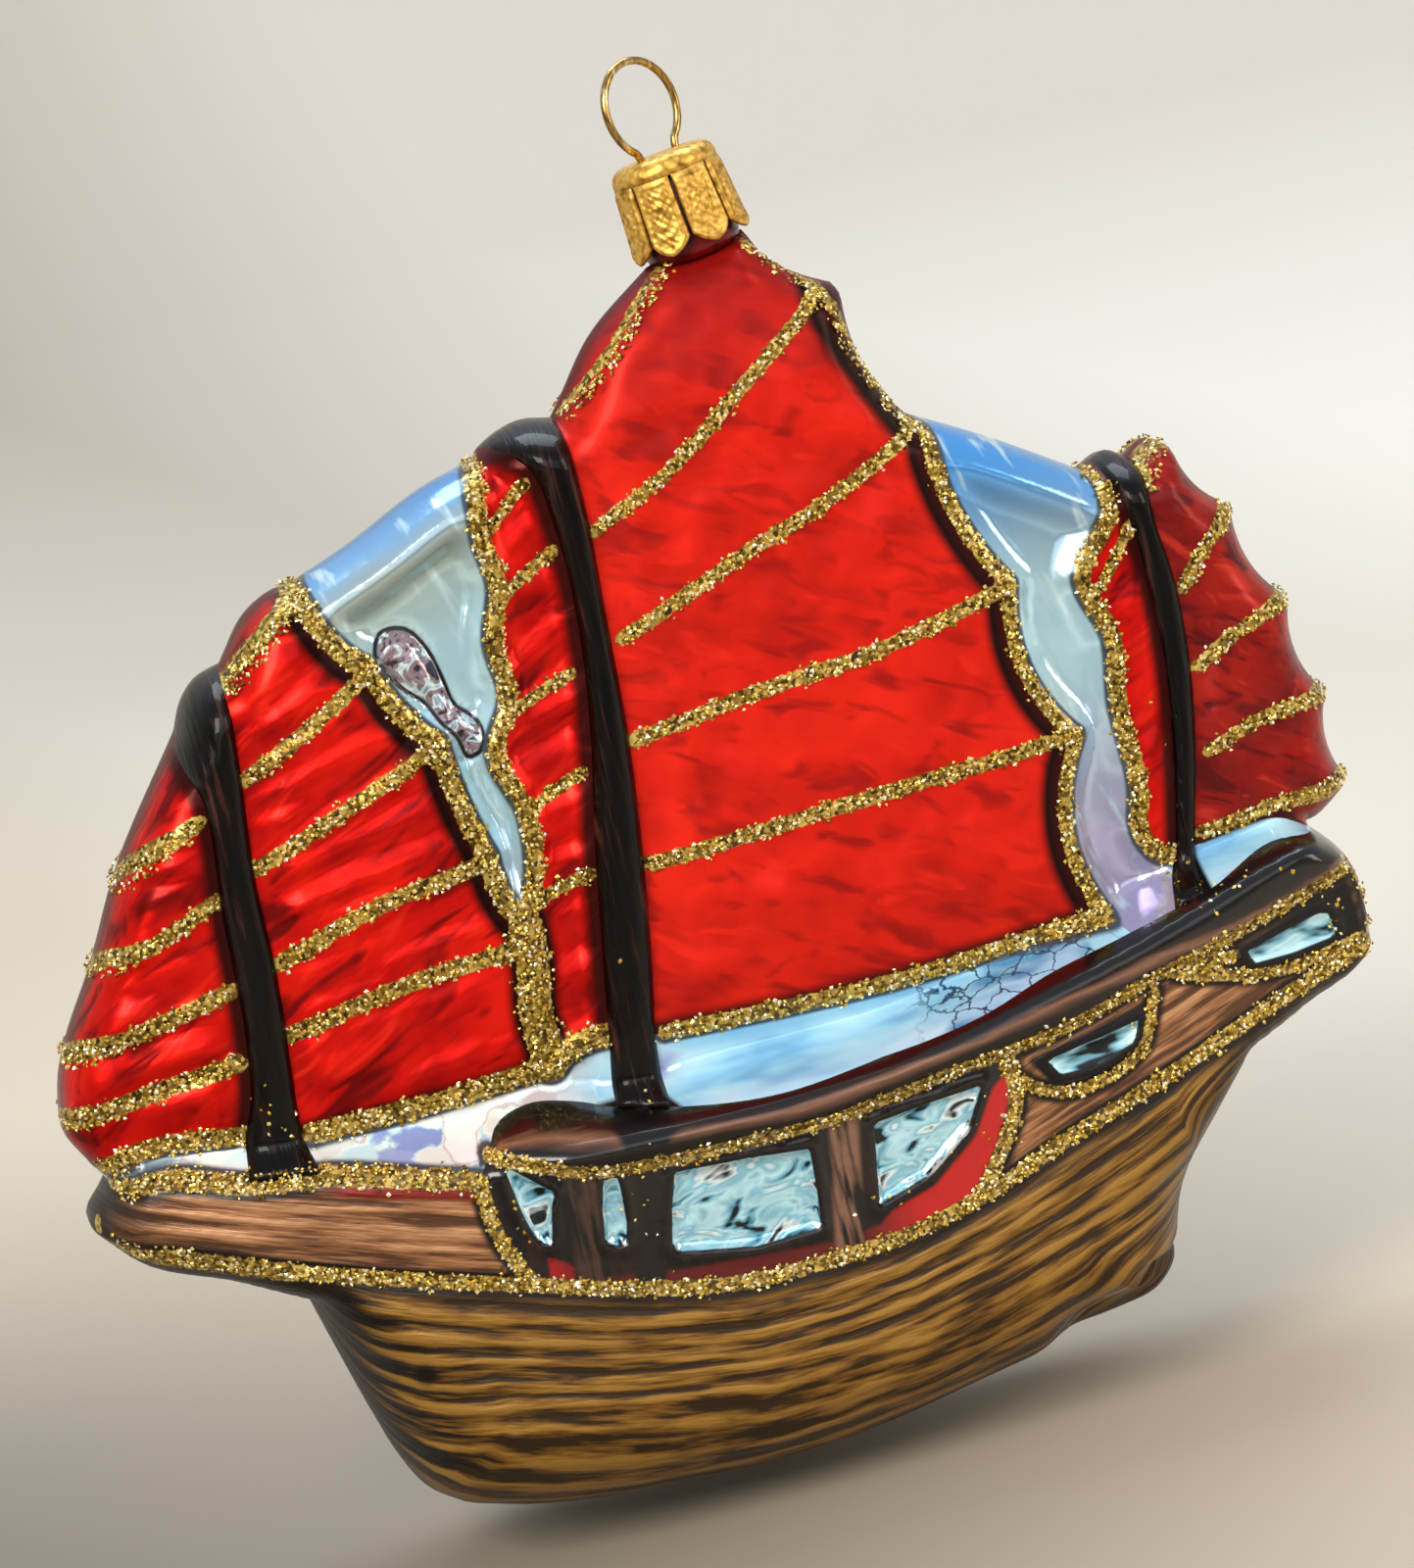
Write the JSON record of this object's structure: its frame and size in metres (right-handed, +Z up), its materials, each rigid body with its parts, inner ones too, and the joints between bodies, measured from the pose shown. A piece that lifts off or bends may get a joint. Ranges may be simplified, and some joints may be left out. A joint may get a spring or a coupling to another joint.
{
  "type": "blown glass junk ship ornament",
  "caption": "Hanging glass ornament in the shape of a junk with red battened sails, silvered webs, brown hull, foil cap and wire ring.",
  "frame": {"origin": "inside top of the wire ring, where the hook that holds the ornament touches it", "axes": "+Z up with the keel level, -X towards the bow, +X towards the stern, Y across the hull"},
  "size_m": [0.1244, 0.036, 0.1298],
  "materials": {
    "gold_wire": "polished gold-coloured wire",
    "gold_foil": "embossed gold-coloured foil",
    "red_lacquered_glass": "translucent red lacquer over silvered glass, glossy to satin",
    "black_lacquered_glass": "glossy brown-black lacquer over glass",
    "brown_lacquered_glass": "dark brown airbrushed lacquer over glass",
    "plank_lacquered_glass": "ochre-brown satin lacquer in plank streaks over glass",
    "silvered_glass": "bare silvered glass",
    "gold_glitter": "gold glitter flakes on glue lines"
  },
  "bodies": {
    "ring": {"hanging_ring": "gold_wire"},
    "cap": {"ornament_cap": "gold_foil"},
    "glass": {"glass_neck": "red_lacquered_glass", "main_sail_leech": "red_lacquered_glass", "main_sail_luff": "red_lacquered_glass", "fore_sail_leech": "red_lacquered_glass", "fore_sail_luff": "red_lacquered_glass", "mizzen_sail_luff": "red_lacquered_glass", "mizzen_sail_leech": "red_lacquered_glass", "main_mast": "black_lacquered_glass", "fore_mast": "black_lacquered_glass", "mizzen_mast": "black_lacquered_glass", "fore_web": "silvered_glass", "aft_web": "silvered_glass", "bow_deck": "silvered_glass", "fore_deck": "silvered_glass", "midship_deck": "silvered_glass", "poop_deck": "silvered_glass", "sheer_rail": "brown_lacquered_glass", "cabin_band": "silvered_glass", "bow_panel": "plank_lacquered_glass", "stern_panel": "plank_lacquered_glass", "hull": "plank_lacquered_glass", "rudder": "plank_lacquered_glass"}
  },
  "joints": [
    {"name": "ring_pull", "type": "slide", "parent": "ring", "child": "cap", "axis": [0.1392, 0, -0.9903], "range_m": [0, 0.003]},
    {"name": "cap_swivel", "type": "hinge", "parent": "cap", "child": "glass", "pos_m": [0.00244, 0, -0.01733], "axis": [-0.1392, 0, 0.9903], "continuous": true}
  ]
}
